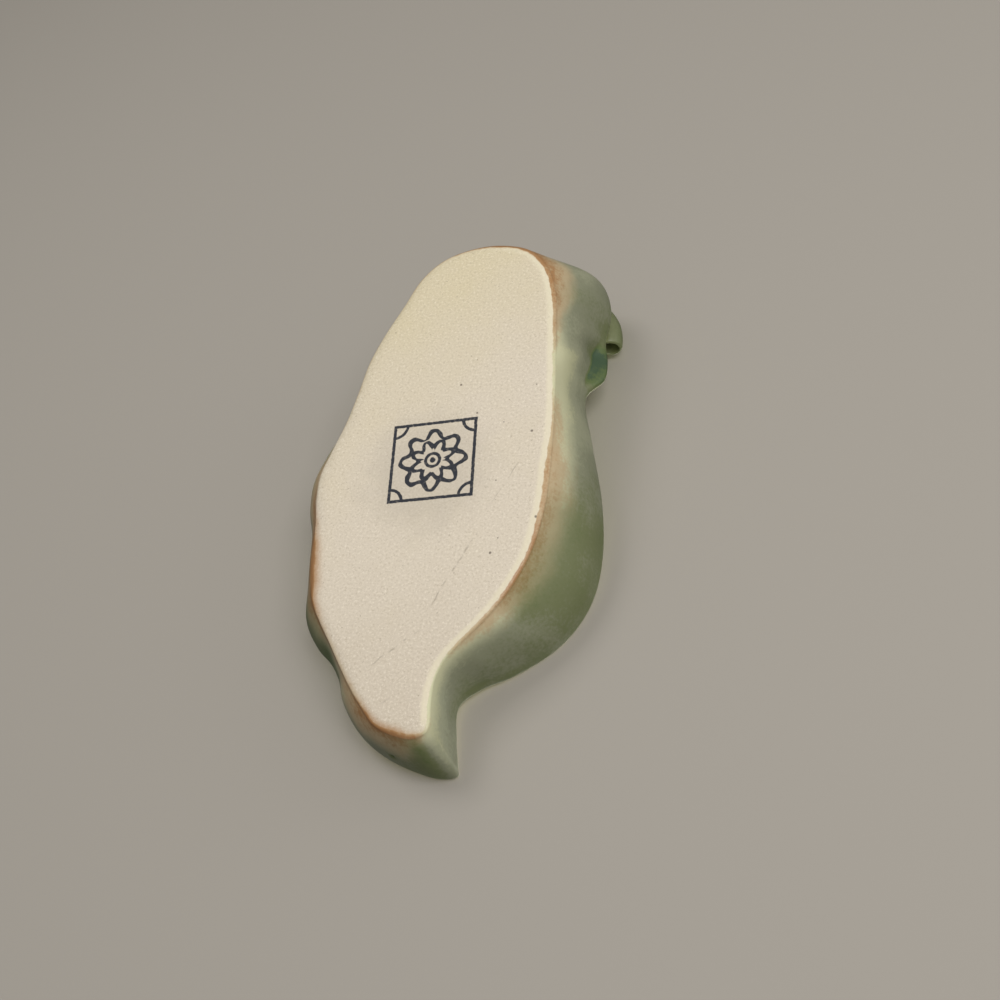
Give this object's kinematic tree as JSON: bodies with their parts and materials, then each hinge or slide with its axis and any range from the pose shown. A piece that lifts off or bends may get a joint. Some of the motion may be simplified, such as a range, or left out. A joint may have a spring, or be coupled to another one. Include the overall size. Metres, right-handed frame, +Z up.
{
  "type": "incense holder",
  "caption": "Leaf-shaped glazed ceramic incense holder: a shallow tray with a wavy rim and a curled hollow stem whose open end holds the stick.",
  "frame": {"origin": "on the flat foot, near the middle of the leaf, at the height of the surface it stands on", "axes": "+Z up out of the tray, +Y from the leaf's tip towards its stem, +X to the right seen from above with the stem at the top"},
  "size_m": [0.066, 0.121, 0.0325],
  "materials": {
    "celadon_tray": "satin celadon glaze over pale buff clay, bare on the foot",
    "celadon_stem": "satin celadon glaze"
  },
  "bodies": {
    "root": {"leaf_tray": "celadon_tray", "leaf_stem": "celadon_stem"}
  },
  "joints": []
}
